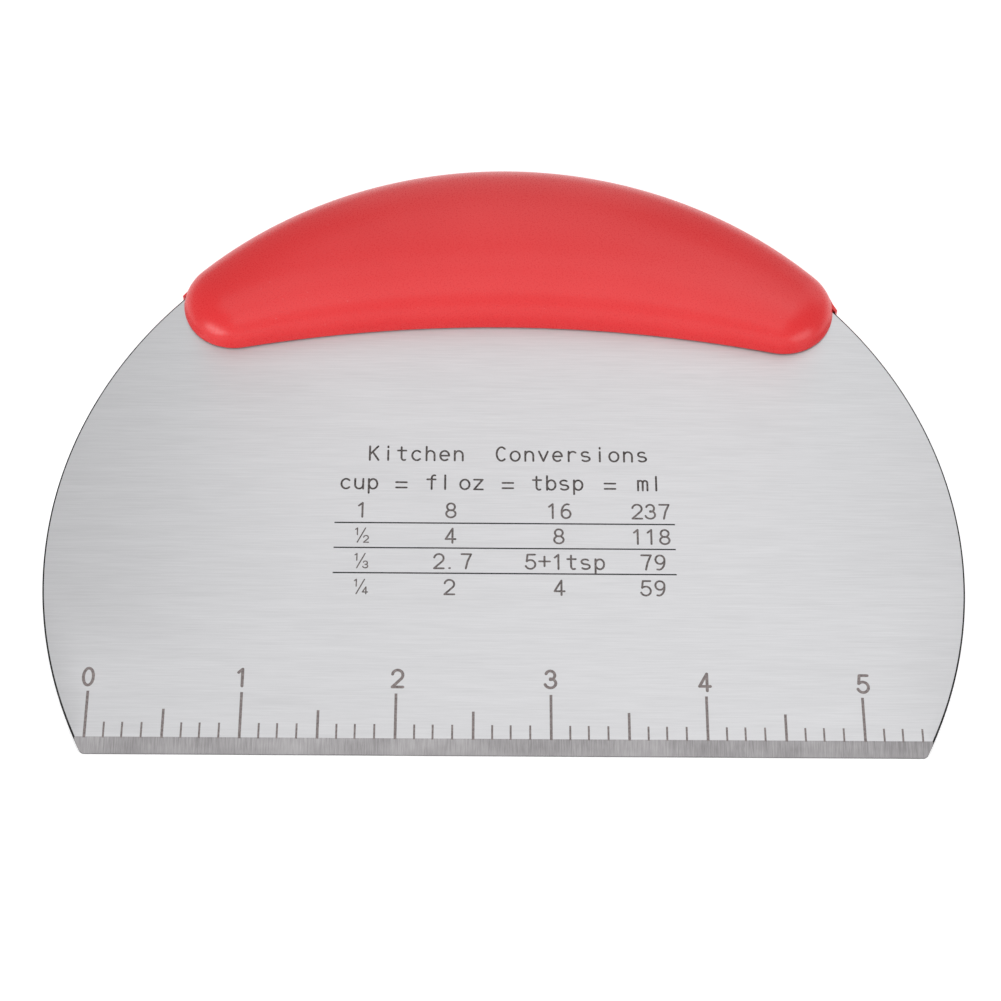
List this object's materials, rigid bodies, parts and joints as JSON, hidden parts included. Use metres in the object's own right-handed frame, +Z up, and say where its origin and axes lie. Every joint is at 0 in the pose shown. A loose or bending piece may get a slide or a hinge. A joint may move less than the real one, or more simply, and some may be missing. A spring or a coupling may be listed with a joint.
{
  "type": "bench scraper",
  "caption": "Half-round steel bench scraper with a ground working edge, an engraved inch scale and measures table, and a soft crescent grip moulded over the blade's back.",
  "frame": {"origin": "centre of the bounding box in X and Y, on the surface that the tool lies on", "axes": "+X along the working edge, towards the 5 of the scale; +Y from the working edge to the handle; +Z up, out of the ruled face, with the tool lying on its back"},
  "size_m": [0.155, 0.116, 0.0181],
  "materials": {
    "blade_steel": "fine horizontal brushing, ground bevel with upright scratches",
    "grip_rubber": "satin soft-touch moulding with a fine grain",
    "core_plastic": "as moulded",
    "rivet_steel": "bright"
  },
  "bodies": {
    "root": {"blade": "blade_steel", "grip": "grip_rubber", "scale_front": "core_plastic", "scale_rear": "core_plastic", "rivet_left": "rivet_steel", "rivet_centre": "rivet_steel", "rivet_right": "rivet_steel"}
  },
  "joints": []
}
